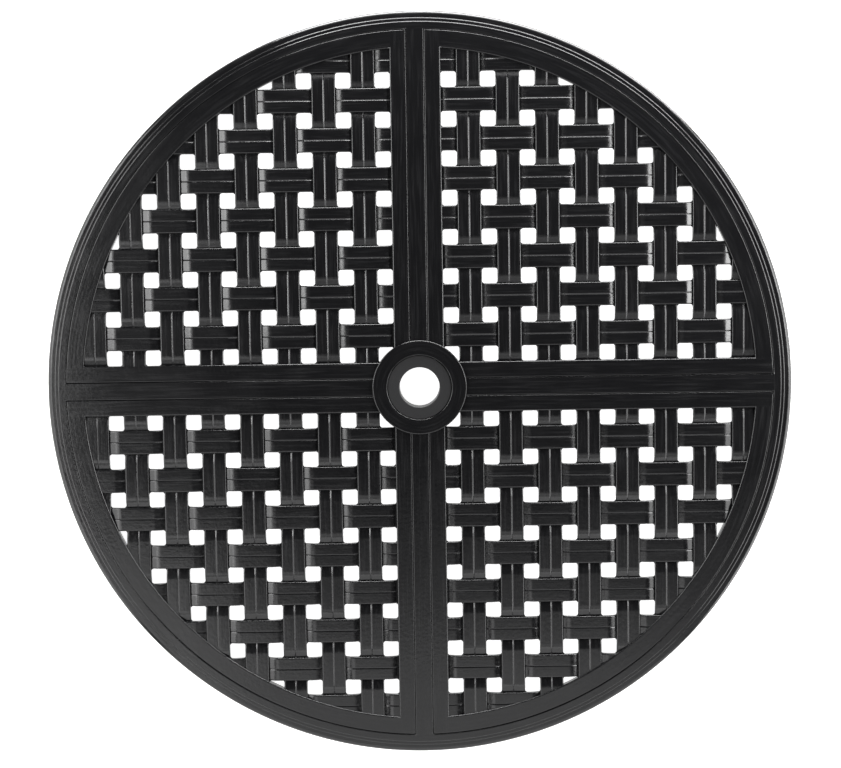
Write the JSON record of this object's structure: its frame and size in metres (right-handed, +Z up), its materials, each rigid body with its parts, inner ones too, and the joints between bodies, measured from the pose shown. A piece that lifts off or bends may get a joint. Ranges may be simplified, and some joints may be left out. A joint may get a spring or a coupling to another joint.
{
  "type": "patio table top",
  "caption": "Round cast table top with four basket-weave panels in a stepped rim, a cross frame, a central umbrella hole with a lift-out ring, and leg plates underneath.",
  "frame": {"origin": "centre of the umbrella hole's axis, level with the bottom edge of the rim's skirt", "axes": "+Z is up, out of the face that things are put on; the four arms of the cross lie along X and Y"},
  "size_m": [1.0669, 1.067, 0.048],
  "materials": {
    "cast_frame": "satin",
    "cast_panel": "satin",
    "cast_collar": "satin",
    "black_nylon": "satin",
    "plated_plate": "satin",
    "zinc_steel": "satin"
  },
  "bodies": {
    "top": {"frame_casting": "cast_frame", "panel_north_east": "cast_panel", "panel_screws_north_east": "zinc_steel", "panel_north_west": "cast_panel", "panel_screws_north_west": "zinc_steel", "panel_south_west": "cast_panel", "panel_screws_south_west": "zinc_steel", "panel_south_east": "cast_panel", "panel_screws_south_east": "zinc_steel", "umbrella_collar": "cast_collar", "collar_screws": "zinc_steel", "leg_plate_east": "plated_plate", "leg_plate_screws_east": "zinc_steel", "leg_nuts_east": "zinc_steel", "leg_plate_north": "plated_plate", "leg_plate_screws_north": "zinc_steel", "leg_nuts_north": "zinc_steel", "leg_plate_west": "plated_plate", "leg_plate_screws_west": "zinc_steel", "leg_nuts_west": "zinc_steel", "leg_plate_south": "plated_plate", "leg_plate_screws_south": "zinc_steel", "leg_nuts_south": "zinc_steel"},
    "umbrella_ring": {"umbrella_ring": "black_nylon"}
  },
  "joints": [
    {"name": "umbrella_ring_lift", "type": "slide", "parent": "top", "child": "umbrella_ring", "axis": [0, 0, 1], "range_m": [0, 0.05]}
  ]
}
